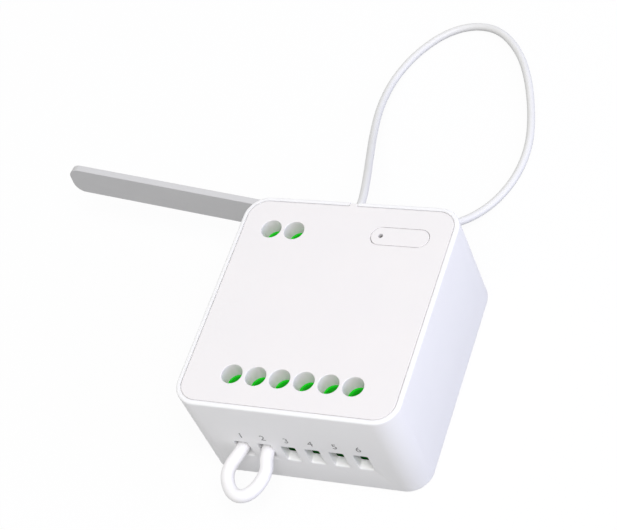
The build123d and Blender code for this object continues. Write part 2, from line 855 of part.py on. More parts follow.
def make_bobbin():
    """The transformer's bobbin: a tube with flanges and two pin rails."""
    inner_x = core_length / 2 - core_back - bobbin_gap
    flange_x = inner_x - bobbin_flange
    flange_z = winding_height / 2 + bobbin_gap
    flange_y = core_width / 2 - core_leg - bobbin_gap
    skin = bobbin_gap + bobbin_wall
    body = Box(2 * inner_x, 2 * (core_leg + skin), core_height + 2 * skin)
    rail_top = -core_height / 2 - bobbin_rail_gap
    rail_bottom = board_top + bobbin_foot_gap - trafo_z
    for side in (-1, 1):
        x = sorted((side * flange_x, side * inner_x))
        body += bar(x, (-flange_y, flange_y), (-flange_z, flange_z))
        rail_x = sorted((side * flange_x, side * core_length / 2))
        body += bar(rail_x, (-core_width / 2, core_width / 2), (rail_bottom, rail_top))
    body -= bobbin_tube(0)
    for x, y, diameter in lead_places()[8:]:
        body -= rod(x - trafo_x, y - trafo_y, (rail_bottom - overrun, rail_top - bobbin_wall), diameter)
    return Pos(trafo_x, trafo_y, trafo_z) * body


def make_winding():
    """The copper winding in its tape, round the bobbin's tube."""
    half_x = core_length / 2 - core_back - 2 * bobbin_gap - bobbin_flange
    profile = RectangleRounded(winding_width - 2 * bobbin_wall, winding_height, winding_corner)
    body = extrude(Plane.YZ * profile, half_x, both=True)
    return Pos(trafo_x, trafo_y, trafo_z) * (body - bobbin_tube(bobbin_wall + bobbin_gap))


def make_can(x, y, diameter, height):
    """An electrolytic capacitor's can, standing on the board."""
    can = rod(x, y, (board_top, board_top + height), diameter)
    return fillet(can.edges().filter_by(GeomType.CIRCLE), can_edge_radius)


def make_varistor():
    """The surge varistor, a coated disc on edge."""
    disc = Pos(varistor_x, varistor_y, board_top + varistor_lift + varistor_diameter / 2) * Rot(0, 90, 0)
    disc = disc * Cylinder(varistor_diameter / 2, varistor_thickness)
    return fillet(disc.edges().filter_by(GeomType.CIRCLE), varistor_edge_radius)


def make_resistor():
    """The fusible resistor, standing on end."""
    bottom = board_top + resistor_lift
    body = rod(resistor_x, resistor_y, (bottom, bottom + resistor_height), resistor_diameter)
    return fillet(body.edges().filter_by(GeomType.CIRCLE), resistor_edge_radius)


def make_rectifier():
    """The bridge rectifier, a flat package on the main board."""
    body = Box(rectifier_length, rectifier_width, rectifier_height)
    return Pos(rectifier_x, rectifier_y, board_top + rectifier_height / 2) * body


def make_leads():
    """The tinned leads of the loose components, from the board's underside to each body."""
    tops = [board_top] * 4
    tops += [board_top + varistor_lift + varistor_diameter / 4] * 2
    tops += [board_top + resistor_lift] * 2
    tops += [trafo_z - core_height / 2 - bobbin_rail_gap - bobbin_wall] * 4
    leads = []
    for (x, y, diameter), top in zip(lead_places(), tops):
        leads.append(rod(x, y, (tail_end, top), diameter))
    for lead in (4, 5):
        leads[lead] = leads[lead] - make_varistor()
    return leads


# The antenna's route: out of its notch, down to the surface that the box stands on, round a wide loop
# there, and up into its socket
antenna_points = [
    (-0.1, 22.6, 22.2),
    (-0.1, 28.66, 22.2),
    (-2.95, 35.95, 18.04),
    (-6.97, 46.16, 12.59),
    (-11.12, 57.33, 7.24),
    (-14.01, 68.05, 3.2),
    (-14.3, 77.63, 1.21),
    (-11.34, 85.99, 0.9),
    (-5.79, 92.7, 0.9),
    (0.94, 95.32, 0.9),
    (7.63, 93.61, 0.9),
    (13.75, 86.94, 0.9),
    (17.77, 78.58, 0.9),
    (20.85, 68.71, 0.9),
    (22.31, 60.24, 0.9),
    (21.57, 52.12, 0.9),
    (18.7, 45.2, 0.9),
    (14.74, 39.6, 1.97),
    (11.01, 34.89, 5.17),
    (9.2, 29.45, 8.0),
    (9.2, 22.9, 8.0),
]

# The link's route: straight out of pole 1, round a short level loop and back into pole 2
link_points = [
    (-12.5, -21.6, 10.1),
    (-12.5, -25.9, 10.1),
    (-14.3, -30.6, 10.1),
    (-13.4, -34.8, 10.1),
    (-10.2, -36.6, 10.1),
    (-7.2, -34.6, 10.1),
    (-5.7, -30.2, 10.1),
    (-7.42, -25.7, 10.1),
    (-7.42, -21.6, 10.1),
]

# Share of the shorter run beside a corner that its arc takes up
arc_share = 0.45


def cord_radii(points):
    """The largest tangent arc that each corner's two runs allow."""
    spots = [Vector(*point) for point in points]
    radii = []
    for before, here, after in zip(spots, spots[1:], spots[2:]):
        run_in = here - before
        run_out = after - here
        turn = math.radians(run_in.get_angle(run_out))
        radii.append(arc_share * min(run_in.length, run_out.length) / math.tan(turn / 2))
    return radii


def make_cord(name, points, diameter):
    """A round tube along straight runs joined by tangent arcs."""
    radii = cord_radii(points)
    path = FilletPolyline(*points, radius=radii)
    start = Plane(origin=points[0], z_dir=path % 0)
    tube = sweep(start * Circle(diameter / 2), path=path)
    expected = math.pi * diameter ** 2 / 4 * path.length
    print(name, "length", round(path.length, 2), "radii", [round(r, 1) for r in radii])
    print(name, "volume", round(tube.volume, 3), "section times length", round(expected, 3))
    return tube


def make_antenna_lead():
    """The antenna's tinned inner end, bent down to its pad on the control board."""
    x = antenna_exit_x
    y = antenna_points[0][1]
    z = antenna_exit_z
    pad_y = control_board_y[1] - antenna_pad_inset
    corner = pad_y - antenna_lead_diameter / 2
    down = rod(x, pad_y, (control_board_top, z + antenna_lead_diameter / 2), antenna_lead_diameter)
    return down + rod_y(x, (corner, y), z, antenna_lead_diameter)


def make_link_cores():
    """The link's two bare copper ends inside the clamps."""
    cores = []
    for x in (front_x[i] for i in linked_poles):
        y = (link_points[0][1], front_axis_y + core_reach)
        cores.append(rod_y(x, y, link_z, link_core_diameter))
    return cores


def make_strap():
    """The flat flexible strap: its root lies on the back wall, the free part leaves it at a small angle."""
    face = half_depth + strap_wall_gap
    angle = math.radians(strap_angle_degrees)
    free_length = strap_length - (strap_root_x - strap_bend_x)
    ahead = Vector(-math.cos(angle), math.sin(angle))
    across = Vector(math.sin(angle), math.cos(angle))
    bend = Vector(strap_bend_x, face)
    tip = bend + ahead * free_length
    back_bend = Vector(strap_bend_x + strap_thickness * math.tan(angle / 2), face + strap_thickness)
    outline = Polyline(
        (strap_root_x, face),
        (bend.X, bend.Y),
        (tip.X, tip.Y),
        (tip.X + across.X * strap_thickness, tip.Y + across.Y * strap_thickness),
        (back_bend.X, back_bend.Y),
        (strap_root_x, face + strap_thickness),
        close=True,
    )
    strap = Pos(0, 0, strap_bottom) * extrude(make_face(outline), strap_height)
    # The rounded tip: the end face's two short edges
    short_edges = strap.faces().sort_by(Axis.X)[0].edges().filter_by(Axis.Z, reverse=True)
    strap = fillet(short_edges, strap_tip_radius)
    centre_z = strap_bottom + strap_height / 2
    strap = fillet(strap.edges(), strap_edge_radius)
    for x in peg_x:
        hole_y = (half_depth, face + strap_thickness + overrun)
        strap -= rod_y(x, hole_y, centre_z, peg_diameter + 2 * peg_hole_clearance)
    return strap


def place(piece, x, y):
    """The relay piece, built about its own centre, stood on the board."""
    if isinstance(piece, list):
        return [Pos(x, y, board_top) * one for one in piece]
    return Pos(x, y, board_top) * piece


def front_block():
    """The six-pole terminal block."""
    return Pos(0, front_axis_y, 0) * block_body(front_x)


def back_block():
    """The two-pole terminal block, turned to face the back wall."""
    local = [-x for x in reversed(back_x)]
    return Pos(0, back_axis_y, 0) * turned(block_body(local), 1)


nodes = {
    "housing": make_housing(),
    "top_cover": make_cover(),
    "function_button": make_button(),
    "light_guide": make_light_guide(),
    "status_light": make_led(),
    "tact_switch_body": make_switch(),
    "tact_switch_plunger": make_plunger(),
    "control_board": make_control_board(),
    "board_spacers": make_spacers(),
    "pin_header": make_header(),
    "header_pins": make_header_pins(),
    "radio_board": make_radio_board(),
    "radio_shield": make_shield(),
    "main_board": make_main_board(),
    "terminal_block_six": front_block(),
    "terminal_block_two": back_block(),
    "contact_bars": [Pos(x, y, 0) * turned(contact_bar(), side) for x, y, side in poles],
    "transformer_core": [make_core_half(side) for side in (-1, 1)],
    "transformer_bobbin": make_bobbin(),
    "transformer_winding": make_winding(),
    "input_capacitor": make_can(input_can_x, can_y, input_can_diameter, input_can_height),
    "output_capacitor": make_can(output_can_x, can_y, output_can_diameter, output_can_height),
    "surge_varistor": make_varistor(),
    "fusible_resistor": make_resistor(),
    "bridge_rectifier": make_rectifier(),
    "component_leads": make_leads(),
    "antenna_wire": make_cord("antenna_wire", antenna_points, antenna_diameter),
    "antenna_lead": make_antenna_lead(),
    "link_wire": make_cord("link_wire", link_points, link_diameter),
    "link_cores": make_link_cores(),
    "mounting_strap": make_strap(),
}
for index in range(len(poles)):
    nodes["terminal_screw_%d" % (index + 1)] = make_screw(index)
    nodes["clamp_cage_%d" % (index + 1)] = make_cage(index)
relay_pieces = {
    "relay_base": relay_base(),
    "relay_case": relay_case(),
    "relay_coil": relay_coil(),
    "relay_yoke": relay_yoke(),
    "relay_armature": relay_armature(),
    "relay_contacts": relay_contacts(),
}
for number, x in enumerate(relay_x, 1):
    for name, piece in relay_pieces.items():
        nodes["%s_%d" % (name, number)] = place(piece, x, relay_y)

os.makedirs("parts", exist_ok=True)
for name, shape in nodes.items():
    solids = shape if isinstance(shape, list) else [shape]
    export_step(Compound(children=solids, label=name), "parts/%s.step" % name)
print(len(nodes), "nodes")
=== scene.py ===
"""Smart relay module: a small white in-wall box with an inset cover, two terminal rows, a button,
a link wire, an antenna wire and a flat strap. Blender's unit is the metre; the sizes here are
millimetres, which mm() turns into metres.
"""
import math

import bpy
from mathutils import Matrix, Vector


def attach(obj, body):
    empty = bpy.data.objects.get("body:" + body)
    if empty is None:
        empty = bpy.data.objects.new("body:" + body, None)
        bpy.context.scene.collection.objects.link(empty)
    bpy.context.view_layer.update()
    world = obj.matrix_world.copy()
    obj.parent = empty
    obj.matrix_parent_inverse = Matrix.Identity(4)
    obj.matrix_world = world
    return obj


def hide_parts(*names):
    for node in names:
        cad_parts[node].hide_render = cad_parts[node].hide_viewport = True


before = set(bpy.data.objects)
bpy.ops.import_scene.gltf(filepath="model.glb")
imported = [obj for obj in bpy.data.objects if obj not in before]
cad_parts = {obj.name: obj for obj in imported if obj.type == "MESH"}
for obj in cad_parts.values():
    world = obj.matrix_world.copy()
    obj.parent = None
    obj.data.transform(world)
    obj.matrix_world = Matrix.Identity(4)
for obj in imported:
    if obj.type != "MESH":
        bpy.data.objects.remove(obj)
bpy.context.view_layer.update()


# The camera stands where the photograph was taken from: above the front edge and to the right,
# about 39 cm off, with its horizon tipped as the photograph's is.
camera_data = bpy.data.cameras.new("photo_camera")
camera_data.lens = 111.13
camera_data.sensor_width = 36.0
camera_data.clip_start = 0.01
camera = bpy.data.objects.new("photo_camera", camera_data)
bpy.context.scene.collection.objects.link(camera)
camera_place = (0.15151, -0.18370, 0.30672)
camera_right = Vector((0.90621921, 0.2992324, -0.29870842))
camera_up = Vector((-0.07125921, 0.80447333, 0.58969889))
camera_back = Vector((0.41675997, -0.51311074, 0.75035225))
camera_turn = Matrix((camera_right, camera_up, camera_back)).transposed().to_4x4()
camera.matrix_world = Matrix.Translation(camera_place) @ camera_turn
bpy.context.scene.camera = camera
bpy.context.scene.view_settings.view_transform = "Standard"


# The antenna is a thin solid-core wire in an extruded white PVC sleeve, which is satin with a faint
# long ripple. It leaves the notch at the back edge, drops to the table, lies there in one big loop
# and comes back into a socket low in the back wall.
def mm(*values):
    """Millimetres as metres: one number, or a tuple of them."""
    metres = tuple(value / 1000 for value in values)
    return metres if len(metres) > 1 else metres[0]


def lay_wire(name, route, diameter):
    """One smooth sleeved wire along its route, whose points are in millimetres."""
    line = bpy.data.curves.new(name, "CURVE")
    line.dimensions = "3D"
    spline = line.splines.new("NURBS")
    spline.points.add(len(route) - 1)
    for point, place in zip(spline.points, route):
        point.co = (*mm(*place), 1.0)
        point.radius = mm(diameter) / 2
    spline.order_u = 3
    spline.use_endpoint_u = True
    spline.resolution_u = 24
    line.bevel_depth = 1.0  # the points' own radius times one
    line.bevel_resolution = 8
    line.use_fill_caps = True
    wire = bpy.data.objects.new(name, line)
    bpy.context.scene.collection.objects.link(wire)
    return wire


def linear(hex_colour):
    """An sRGB hex colour as the linear colour that the shaders work in."""
    channels = [int(hex_colour[i:i + 2], 16) / 255 for i in (1, 3, 5)]
    values = [c / 12.92 if c <= 0.04045 else ((c + 0.055) / 1.055) ** 2.4 for c in channels]
    return (*values, 1.0)


def add_node(owner, kind, settings=None, links=None):
    """Adds one node to a material or world, sets its values and links its inputs to other outputs."""
    node = owner.node_tree.nodes.new(kind)
    for name, value in (settings or {}).items():
        if isinstance(name, str) and hasattr(node, name):
            setattr(node, name, value)
        else:
            node.inputs[name].default_value = value
    for name, source in (links or {}).items():
        owner.node_tree.links.new(source, node.inputs[name])
    return node


def new_finish(name):
    """A material with nothing in it yet."""
    material = bpy.data.materials.new(name)
    material.use_nodes = True
    material.node_tree.nodes.clear()
    return material


def show(material, shader):
    """Makes a shader node the material's surface."""
    add_node(material, "ShaderNodeOutputMaterial", links={"Surface": shader.outputs[0]})
    return material


def per_metre(size_mm):
    """The texture scale at which one cell of a pattern is that many millimetres wide."""
    return 1000 / size_mm


def moulded_plastic(name, colour, shade, roughness, grain_mm=0.3, grain_depth_mm=0.004, ior=1.55,
                    flow_mm=9.0, glow=0.0, painted_shade_colour=None, painted_shade_heights_mm=(0.0, 1.0)):
    """A moulded plastic: spark-eroded grain, faint flow shading, slightly uneven gloss, and, where
    it lies in shade at the bottom of holes, a darker colour painted in below a height as painted shade."""
    finish = new_finish(name)
    place = add_node(finish, "ShaderNodeTexCoord").outputs["Object"]
    flow = add_node(finish, "ShaderNodeTexNoise", {"Scale": per_metre(flow_mm), "Detail": 3.0},
                    {"Vector": place})
    grain = add_node(finish, "ShaderNodeTexNoise", {"Scale": per_metre(grain_mm), "Detail": 4.0},
                     {"Vector": place})
    base = add_node(finish, "ShaderNodeMix",
                    {"data_type": "RGBA", 6: linear(colour), 7: linear(shade)},
                    {0: flow.outputs["Fac"]}).outputs[2]
    # Painted shade: below a height the colour fades into a darker one.
    if painted_shade_colour:
        height = add_node(finish, "ShaderNodeSeparateXYZ", links={0: place})
        share = add_node(finish, "ShaderNodeMapRange",
                         {"From Min": mm(painted_shade_heights_mm[0]), "From Max": mm(painted_shade_heights_mm[1])},
                         {"Value": height.outputs["Z"]})
        base = add_node(finish, "ShaderNodeMix", {"data_type": "RGBA", 6: linear(painted_shade_colour)},
                        {0: share.outputs[0], 7: base}).outputs[2]
    gloss = add_node(finish, "ShaderNodeMapRange",
                     {"To Min": roughness - 0.05, "To Max": roughness + 0.07},
                     {"Value": grain.outputs["Fac"]})
    relief = add_node(finish, "ShaderNodeBump", {"Strength": 0.35, "Distance": mm(grain_depth_mm)},
                      {"Height": grain.outputs["Fac"]})
    body = add_node(finish, "ShaderNodeBsdfPrincipled",
                    {"IOR": ior, "Subsurface Weight": glow, "Subsurface Scale": mm(0.8),
                     "Subsurface Radius": (1.0, 1.0, 1.0)},
                    {"Base Color": base, "Roughness": gloss.outputs[0],
                     "Normal": relief.outputs[0]})
    return show(finish, body)


def dress(piece, finish):
    """Gives a piece its one finish."""
    piece.data.materials.clear()
    piece.data.materials.append(finish)


antenna_route = [
    (-0.1, 22.6, 22.2), (-0.1, 25.6, 22.2), (-0.84, 29.11, 20.74), (-3.14, 36.36, 17.72),
    (-6.91, 46.04, 12.69), (-11.02, 57.06, 7.36), (-13.92, 68.07, 3.42), (-14.09, 77.95, 1.39),
    (-11.1, 86.36, 0.9), (-5.7, 92.7, 0.91), (0.73, 95.26, 0.9), (7.37, 93.66, 1.07),
    (13.31, 87.56, 0.9), (17.6, 79.17, 1.25), (20.77, 69.07, 0.9), (22.36, 60.32, 1.02),
    (21.61, 52.32, 0.9), (18.87, 45.44, 0.94), (15.15, 39.66, 2.22), (11.38, 34.8, 5.35),
    (9.2, 29.4, 8.0), (9.2, 22.9, 8.0),
]
antenna = lay_wire("antenna_sleeve", antenna_route, diameter=1.7)
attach(antenna, "module")
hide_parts("antenna_wire")
# The antenna sleeve's white is painted a little grey, as painted shade for the wire lying low by the
# table.
extruded_pvc = moulded_plastic("extruded_pvc_sleeve", "#e8e8e8", "#e2e2e2", 0.45, grain_mm=3.0,
                               grain_depth_mm=0.001, ior=1.54, flow_mm=5.0)
dress(antenna, extruded_pvc)


# The link wire is a short thick piece of solid hook-up wire that feeds terminal 2 from terminal 1.
# Its sleeve is glossier PVC in a purer white than the antenna's. Its ends are stripped and clamped,
# and it stands out of the front wall in a tight loop.
link_route = [
    (-12.5, -21.6, 10.1), (-12.5, -25.2, 10.1), (-14.4, -30.4, 10.1), (-12.65, -34.35, 10.1),
    (-9.95, -36.15, 10.1), (-7.2, -34.6, 10.1), (-5.8, -30.0, 10.1), (-7.42, -26.1, 10.1),
    (-7.42, -21.6, 10.1),
]
link = lay_wire("link_sleeve", link_route, diameter=2.7)
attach(link, "module")
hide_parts("link_wire")
hookup_pvc = moulded_plastic("hookup_pvc_sleeve", "#fbfafb", "#f6f5f7", 0.36, grain_mm=0.5,
                             grain_depth_mm=0.002, ior=1.54, flow_mm=5.0)
dress(link, hookup_pvc)


# The table is a seamless white sweep. The camera, and what metal and glass mirror, see it as plain
# white paper with a share of the object's soft shadow on it. Other light meets it as a mid grey, so
# that it doesn't throw more light up at the walls than the photograph shows.
def select_only(*pieces):
    """Leaves edit mode and selects these objects alone, the first one active."""
    if bpy.context.object and bpy.context.object.mode != "OBJECT":
        bpy.ops.object.mode_set(mode="OBJECT")
    bpy.ops.object.select_all(action="DESELECT")
    for piece in pieces:
        piece.select_set(True)
    bpy.context.view_layer.objects.active = pieces[0] if pieces else None


def seen_plainly(owner):
    """One where a ray comes from the camera, a mirror or glass, and otherwise zero."""
    rays = add_node(owner, "ShaderNodeLightPath")
    seen = add_node(owner, "ShaderNodeMath", {"operation": "MAXIMUM"},
                    {0: rays.outputs["Is Camera Ray"], 1: rays.outputs["Is Glossy Ray"]})
    seen = add_node(owner, "ShaderNodeMath", {"operation": "MAXIMUM"},
                    {0: seen.outputs[0], 1: rays.outputs["Is Transmission Ray"]})
    return seen.outputs[0]


pure_white = (1.0, 1.0, 1.0, 1.0)
shadow_share = 0.08
paper_white = new_finish("seamless_white_paper")
paper_seen = seen_plainly(paper_white)
paper_glow = add_node(paper_white, "ShaderNodeEmission", {"Color": pure_white, "Strength": 1.0})
paper_sheet = add_node(paper_white, "ShaderNodeBsdfDiffuse", {"Color": linear("#f5f5f6")})
paper_shown = add_node(paper_white, "ShaderNodeMixShader", {0: shadow_share},
                       {1: paper_glow.outputs[0], 2: paper_sheet.outputs[0]})
paper_matt = add_node(paper_white, "ShaderNodeBsdfDiffuse", {"Color": linear("#949495")})
paper_mix = add_node(paper_white, "ShaderNodeMixShader",
                     links={0: paper_seen, 1: paper_matt.outputs[0], 2: paper_shown.outputs[0]})
show(paper_white, paper_mix)

select_only()
bpy.ops.mesh.primitive_circle_add(vertices=96, radius=1.6, fill_type="NGON")
table = bpy.context.object
table.name = "white_table"
dress(table, paper_white)


# Plain studio light: a pale room all round, one large soft box overhead, and a cooler window
# on the right that gives the box's right side its lavender cast.
room = bpy.data.worlds.new("pale_room")
bpy.context.scene.world = room
room.use_nodes = True
room.node_tree.nodes.clear()
room_light = add_node(room, "ShaderNodeBackground", {"Color": pure_white, "Strength": 0.56})
room_shown = add_node(room, "ShaderNodeBackground", {"Color": pure_white, "Strength": 1.0})
room_mix = add_node(room, "ShaderNodeMixShader",
                    links={0: seen_plainly(room), 1: room_light.outputs[0], 2: room_shown.outputs[0]})
add_node(room, "ShaderNodeOutputWorld", links={"Surface": room_mix.outputs[0]})


def soft_box(name, place, power, colour):
    """A square studio lamp, 0.8 m wide, that faces the module."""
    lamp_data = bpy.data.lights.new(name, "AREA")
    lamp_data.shape = "SQUARE"
    lamp_data.size = 0.8
    lamp_data.energy = power
    lamp_data.color = colour
    lamp = bpy.data.objects.new(name, lamp_data)
    bpy.context.scene.collection.objects.link(lamp)
    lamp.location = place
    lamp.rotation_euler = (-Vector(place)).to_track_quat("-Z", "Y").to_euler()


soft_box("front_box", (0.546, -0.491, 1.314), 12.4, (1.0, 0.985, 0.955))
soft_box("right_window", (1.15, 0.05, 0.35), 5.7, (0.62, 0.66, 1.0))


# The housing is the moulded tub of white flame-retardant ABS: 1.8 mm walls, a thin rim round the
# inset cover, square wire entries, rails for the board, and pegs that are staked over the strap.
case_width = 46.8
case_depth = 50.3
case_height = 24.9
corner_radius = 5.0
corner_steps = 14
wall = 1.8
rim = 0.52
seat_width = 0.88
seat_z = 23.3
floor_z = 1.5
half_width = case_width / 2
half_depth = case_depth / 2
front_x = [-12.5, -7.42, -2.34, 2.74, 7.82, 12.9]
back_x = [-16.0, -10.92]
a_hair = 0.01


def block(name, low, high):
    """A box between two corners in millimetres, as the start of a piece."""
    select_only()
    middle = [(a + b) / 2 for a, b in zip(low, high)]
    size = [b - a for a, b in zip(low, high)]
    bpy.ops.mesh.primitive_cube_add(size=1, location=mm(*middle), scale=mm(*size))
    piece = bpy.context.object
    piece.name = piece.data.name = name
    settle()
    return piece


def settle():
    """Moves the active piece's place, turn and scale into its mesh."""
    bpy.ops.object.transform_apply(location=True, rotation=True, scale=True)


def round_bar(name, start, end, diameter, sides=64):
    """A round bar along an axis between two points in millimetres, as the start of a piece."""
    select_only()
    start, end = Vector(start), Vector(end)
    turn = (end - start).to_track_quat("Z", "Y").to_euler()
    bpy.ops.mesh.primitive_cylinder_add(vertices=sides, radius=mm(diameter) / 2,
                                        depth=mm((end - start).length),
                                        location=mm(*((start + end) / 2)), rotation=turn)
    piece = bpy.context.object
    piece.name = piece.data.name = name
    settle()
    return piece


def pick(piece, kind, test):
    """Opens a piece for editing with those corners, edges or faces selected whose points, in
    millimetres, pass the test."""
    select_only(piece)
    mesh = piece.data
    places = [corner.co * 1000 for corner in mesh.vertices]
    for items in (mesh.vertices, mesh.edges, mesh.polygons):
        items.foreach_set("select", [False] * len(items))
    if kind == "corners":
        for corner in mesh.vertices:
            corner.select = test([places[corner.index]])
    else:
        for item in (mesh.edges if kind == "edges" else mesh.polygons):
            item.select = test([places[i] for i in item.vertices])
    bpy.context.tool_settings.mesh_select_mode = (kind == "corners", kind == "edges", kind == "faces")
    bpy.ops.object.mode_set(mode="EDIT")


def close_edit():
    """Ends editing."""
    bpy.ops.object.mode_set(mode="OBJECT")


def draw_out(*step):
    """Extrudes the selected faces by a step in millimetres."""
    bpy.ops.mesh.extrude_region_move(TRANSFORM_OT_translate={"value": mm(*step)})


def move_corners(piece, step, test):
    """Moves the corners that pass the test by a step in millimetres."""
    pick(piece, "corners", test)
    bpy.ops.transform.translate(value=mm(*step))
    close_edit()


def round_edges(piece, radius, steps, test):
    """Rounds the edges that pass the test."""
    pick(piece, "edges", test)
    bpy.ops.mesh.bevel(offset=mm(radius), segments=steps, affect="EDGES", profile=0.5)
    close_edit()


def upright(points):
    """Whether an edge stands upright."""
    along = points[1] - points[0]
    return abs(along.z) > 0.9 * along.length


def above(height):
    """The test for what lies wholly above a height, or within a hair of it."""
    return lambda points: min(point.z for point in points) > height - a_hair


def apply_modifier(piece, kind, **settings):
    """Adds a modifier to a piece and applies it."""
    select_only(piece)
    bpy.ops.object.modifier_add(type=kind)
    modifier = piece.modifiers[-1]
    for name, value in settings.items():
        setattr(modifier, name, value)
    bpy.ops.object.modifier_apply(modifier=modifier.name)


def join_solid(piece, other):
    """Melts another solid into a piece."""
    apply_modifier(piece, "BOOLEAN", operation="UNION", solver="EXACT", object=other)
    bpy.data.objects.remove(other)


def cut_away(piece, other):
    """Cuts another solid out of a piece."""
    apply_modifier(piece, "BOOLEAN", operation="DIFFERENCE", solver="EXACT", object=other)
    bpy.data.objects.remove(other)


def soften(piece, radius, steps=2, angle=40):
    """Cleans a finished piece, shades it smooth, and breaks its sharp edges where a radius is given."""
    pick(piece, "corners", lambda p: True)
    bpy.ops.mesh.delete_loose(use_verts=True, use_edges=True, use_faces=False)
    close_edit()
    apply_modifier(piece, "WELD", merge_threshold=mm(0.002))
    select_only(piece)
    bpy.ops.object.shade_smooth_by_angle(angle=math.radians(35))
    if radius:
        apply_modifier(piece, "BEVEL", width=mm(radius), segments=steps, limit_method="ANGLE",
                       angle_limit=math.radians(angle), use_clamp_overlap=True, harden_normals=True)
    else:
        apply_modifier(piece, "WEIGHTED_NORMAL", keep_sharp=True)


housing = block("housing_shell", (-half_width, -half_depth, 0), (half_width, half_depth, case_height))
round_edges(housing, corner_radius, corner_steps, upright)
round_edges(housing, 0.6, 4, lambda p: max(v.z for v in p) < a_hair)
round_edges(housing, 0.4, 4, above(case_height))
pick(housing, "faces", above(case_height))
bpy.ops.mesh.inset(thickness=mm(rim), depth=0)
draw_out(0, 0, seat_z - case_height)
bpy.ops.mesh.inset(thickness=mm(seat_width), depth=0)
draw_out(0, 0, floor_z - seat_z)
close_edit()

entry_half_width = 1.55
entry_z = (7.5, 12.4)
entry_y = (-half_depth + 0.4, -half_depth + 7.62)
entry_edge_radius = 0.3
entry_floor_rise = 2.6
entry_lip_radius = 0.4
entry_lip_steps = (0.13, 0.24, 0.33, 0.385, 0.4, 1.4)  # outwards along the lip, then past the wall


def entry_cutter(x):
    """One front wire entry: square, its lower lip round, its floor rising inwards to guide the wire."""
    start_y = entry_y[0]
    cutter = block("entry_cutter", (x - entry_half_width, start_y, entry_z[0]),
                   (x + entry_half_width, entry_y[1], entry_z[1]))
    round_edges(cutter, entry_edge_radius, 3,
                lambda p: abs(p[0].x - p[1].x) < a_hair and abs(p[0].z - p[1].z) < a_hair)
    move_corners(cutter, (0, 0, entry_floor_rise),
                 lambda p: p[0].y > start_y + 5 and p[0].z < entry_z[0] + entry_edge_radius + a_hair)
    pick(cutter, "faces", lambda p: max(v.y for v in p) < start_y + a_hair)
    reached = 0.0
    dropped = 0.0
    for step in entry_lip_steps:
        drop = entry_lip_radius - math.sqrt(max(entry_lip_radius ** 2 - step ** 2, 0))
        draw_out(0, reached - step, 0)
        close_edit()
        face_y = start_y - step
        move_corners(cutter, (0, 0, dropped - drop),
                     lambda p: abs(p[0].y - face_y) < 0.001 and p[0].z < entry_z[0] + 1)
        pick(cutter, "faces", lambda p: max(v.y for v in p) < face_y + 0.001)
        reached = step
        dropped = drop
    close_edit()
    return cutter


def entry_cutter_back(x):
    """The same entry turned about the upright axis, for the back wall."""
    cutter = entry_cutter(0.0)
    select_only(cutter)
    bpy.ops.transform.rotate(value=math.pi, orient_axis="Z", center_override=(0, 0, 0))
    bpy.ops.transform.translate(value=mm(x, 0, 0))
    settle()
    return cutter


for x in front_x:
    cut_away(housing, entry_cutter(x))
for x in back_x:
    cut_away(housing, entry_cutter_back(x))

rail_x = (half_width - wall - 1.1, half_width - wall / 2)
window_x = (half_width - wall - 0.6, half_width - wall + 0.4)
window_half_width = 2.2
latch_rows = (-17.0, 11.0)


def side_block(name, side, x_pair, y_pair, z_pair):
    """A box on the left (side -1) or the right (side 1), its X pair as it is on the right."""
    low_x, high_x = sorted(side * x for x in x_pair)
    return block(name, (low_x, y_pair[0], z_pair[0]), (high_x, y_pair[1], z_pair[1]))


for side in (-1, 1):
    join_solid(housing, side_block("board_rail", side, rail_x, (-19.35, 19.35), (1.0, 3.4)))
    for y in latch_rows:
        window_y = (y - window_half_width, y + window_half_width)
        cut_away(housing, side_block("latch_window", side, window_x, window_y, (18.1, 19.7)))

notch_y = (22.35, 26.15)
notch_floor_z = 21.3
notch = block("wire_notch", (-1.0, notch_y[0], notch_floor_z), (0.8, notch_y[1], 23.5))
round_edges(notch, 0.89, 14,
            lambda p: max(v.z for v in p) < notch_floor_z + a_hair and abs(p[0].y - p[1].y) > 1)
cut_away(housing, notch)
cut_away(housing, block("notch_top", (-1.025, notch_y[0], 23.1), (0.825, notch_y[1], 25.9)))

socket_x, socket_z = 9.2, 8.0
join_solid(housing, round_bar("antenna_socket", (socket_x, 21.75, socket_z),
                              (socket_x, 24.0, socket_z), 3.8))
cut_away(housing, round_bar("antenna_bore", (socket_x, 22.25, socket_z),
                            (socket_x, 26.15, socket_z), 1.8))

peg_places = (-14.6, -6.8)
peg_z = 16.85
peg_end_y = 26.7
head_spread = 1.7
head_height = 0.7
for x in peg_places:
    peg = round_bar("strap_peg", (x, 24.25, peg_z), (x, peg_end_y, peg_z), 2.0, sides=40)
    pick(peg, "faces", lambda p: min(v.y for v in p) > peg_end_y - a_hair)
    draw_out(0, 0, 0)
    bpy.ops.transform.resize(value=(head_spread,) * 3, center_override=mm(x, peg_end_y, peg_z))
    draw_out(0, head_height, 0)
    close_edit()
    round_edges(peg, 0.3, 4, lambda p: min(v.y for v in p) > peg_end_y + head_height - a_hair)
    join_solid(housing, peg)
soften(housing, 0.05)

shell_abs = moulded_plastic("shell_white_abs", "#f8f8f9", "#f4f4f6", 0.42, grain_mm=0.35, glow=0.2)
dress(housing, shell_abs)
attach(housing, "module")
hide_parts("housing")


# The top cover is a separate moulding of the same white ABS, a shade warmer. It drops into the rim
# with a hairline gap, and carries the screwdriver funnels, four snap latches and a lug at the back.
cover_inset = 1.08
step_inset = 0.91
step_depth = 0.42
access_diameter = 4.3
funnel_wall = 0.9
front_row_y = -17.53
back_row_y = 17.15
button_place = (11.95, 17.3)


def pill(name, x, y, length, width, low, high, steps=16):
    """A slot-shaped bar along X between two heights."""
    bar = block(name, (x - length / 2, y - width / 2, low), (x + length / 2, y + width / 2, high))
    round_edges(bar, width / 2 - 0.02, steps, upright)
    return bar


